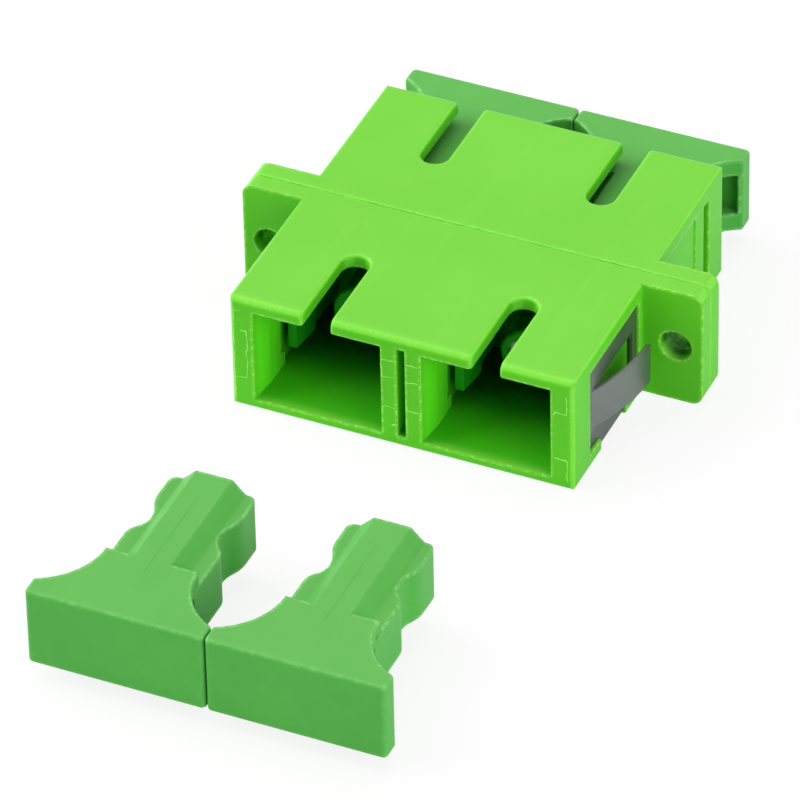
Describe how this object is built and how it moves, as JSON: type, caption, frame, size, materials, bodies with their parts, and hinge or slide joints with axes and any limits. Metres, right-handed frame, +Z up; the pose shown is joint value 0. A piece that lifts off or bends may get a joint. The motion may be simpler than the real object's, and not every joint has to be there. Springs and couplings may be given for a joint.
{
  "type": "sc fibre adapter",
  "caption": "Duplex fibre adapter with a screw flange between two open ports and two capped ports, a metal panel clip and pull-out dust plugs.",
  "frame": {"origin": "midway between the two panel holes, on the parting plane of the two housing halves", "axes": "+X right along the flange, +Y through the ports towards the rear, so the front ports face -Y, +Z up through the keyed side"},
  "size_m": [0.035, 0.0642, 0.0094],
  "materials": {
    "housing_plastic": "satin moulded",
    "carrier_plastic": "fine moulded",
    "sleeve_ceramic": "polished ceramic",
    "clip_steel": "rolled spring steel",
    "plug_plastic": "soft satin moulded"
  },
  "bodies": {
    "adapter": {"front_housing": "housing_plastic", "rear_housing": "housing_plastic", "front_left_latch_carrier": "carrier_plastic", "front_right_latch_carrier": "carrier_plastic", "rear_left_latch_carrier": "carrier_plastic", "rear_right_latch_carrier": "carrier_plastic", "left_alignment_sleeve": "sleeve_ceramic", "right_alignment_sleeve": "sleeve_ceramic", "retaining_clip": "clip_steel"},
    "front_left_plug": {"front_left_dust_plug": "plug_plastic"},
    "front_right_plug": {"front_right_dust_plug": "plug_plastic"},
    "rear_left_plug": {"rear_left_dust_plug": "plug_plastic"},
    "rear_right_plug": {"rear_right_dust_plug": "plug_plastic"}
  },
  "joints": [
    {"name": "front_left_plug_slide", "type": "slide", "parent": "adapter", "child": "front_left_plug", "axis": [0, 1, 0], "range_m": [0, 0.0274]},
    {"name": "front_right_plug_slide", "type": "slide", "parent": "adapter", "child": "front_right_plug", "axis": [0, 1, 0], "range_m": [0, 0.0274]},
    {"name": "rear_left_plug_slide", "type": "slide", "parent": "adapter", "child": "rear_left_plug", "axis": [0, 1, 0], "range_m": [0, 0.02]},
    {"name": "rear_right_plug_slide", "type": "slide", "parent": "adapter", "child": "rear_right_plug", "axis": [0, 1, 0], "range_m": [0, 0.02]}
  ]
}
